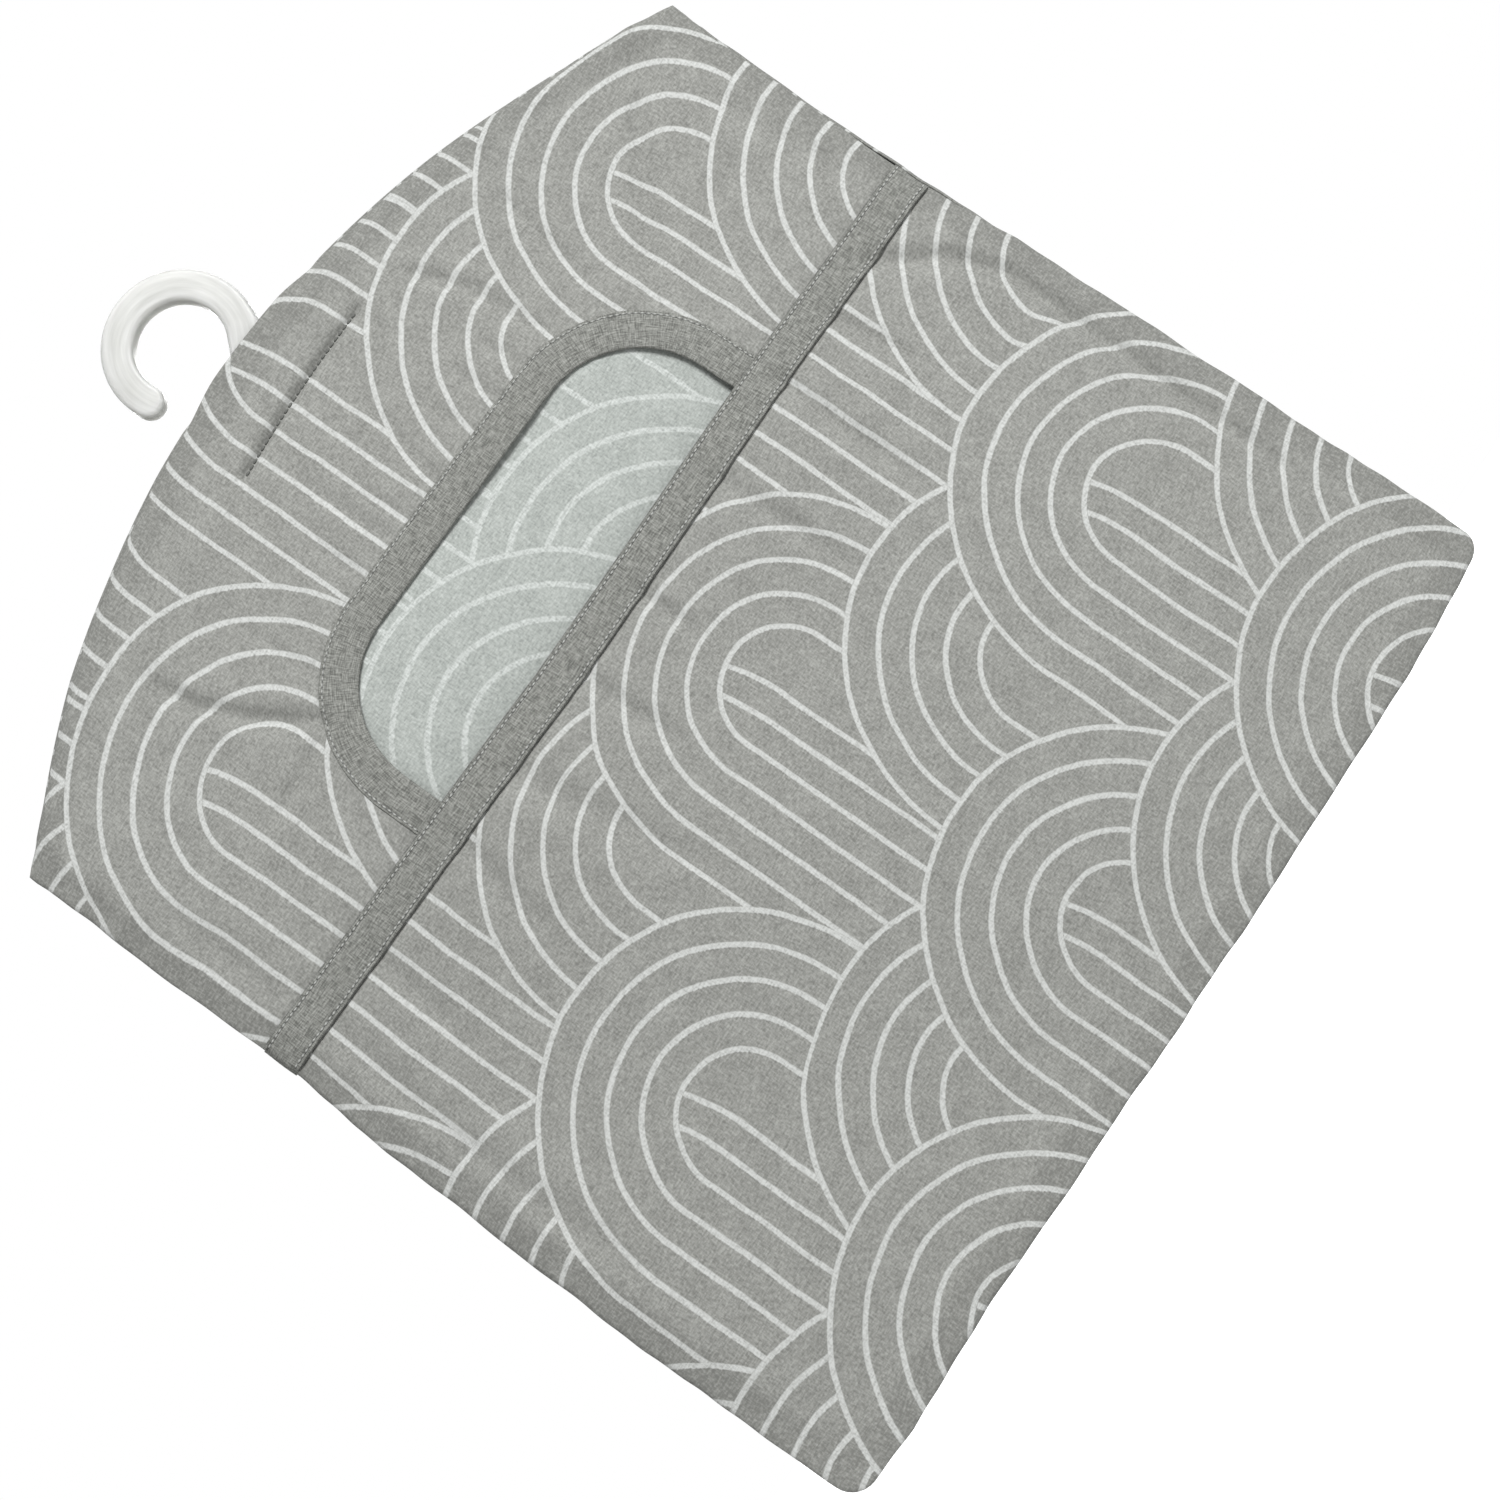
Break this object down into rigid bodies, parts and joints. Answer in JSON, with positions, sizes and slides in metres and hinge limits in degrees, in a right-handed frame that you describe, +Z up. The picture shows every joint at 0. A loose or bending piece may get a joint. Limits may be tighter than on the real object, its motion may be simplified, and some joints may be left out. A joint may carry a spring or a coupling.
{
  "type": "peg bag",
  "caption": "Arched cotton peg bag sewn over a small moulded hanger, with a bound hand opening above a deep front pocket and a hook to hang it from a line.",
  "frame": {"origin": "the hook's inner crown, in the hanger's middle plane, where a line or rail bears", "axes": "+Z up, through the hook; the front with the hand opening faces -Y; +X to the viewer's right"},
  "size_m": [0.33, 0.0176, 0.384],
  "materials": {
    "hanger_plastic": "milky white moulded plastic, soft gloss",
    "printed_cotton": "plain-weave grey cotton with a white line print",
    "plain_tape": "plain grey woven strip cut on the bias",
    "thread": "grey sewing thread"
  },
  "bodies": {
    "hanger": {"hanger": "hanger_plastic"},
    "bag": {"back_panel": "printed_cotton", "front_yoke": "printed_cotton", "front_pocket": "printed_cotton", "scoop_binding": "plain_tape", "cross_band": "plain_tape", "perimeter_seam_stitching": "thread", "hanger_stay_stitching": "thread", "scoop_stitching": "thread", "band_upper_stitching": "thread", "band_lower_stitching": "thread"}
  },
  "joints": [
    {"name": "bag_slip", "type": "slide", "parent": "hanger", "child": "bag", "axis": [0, 0, 1], "range_m": [0, 0.004]}
  ]
}
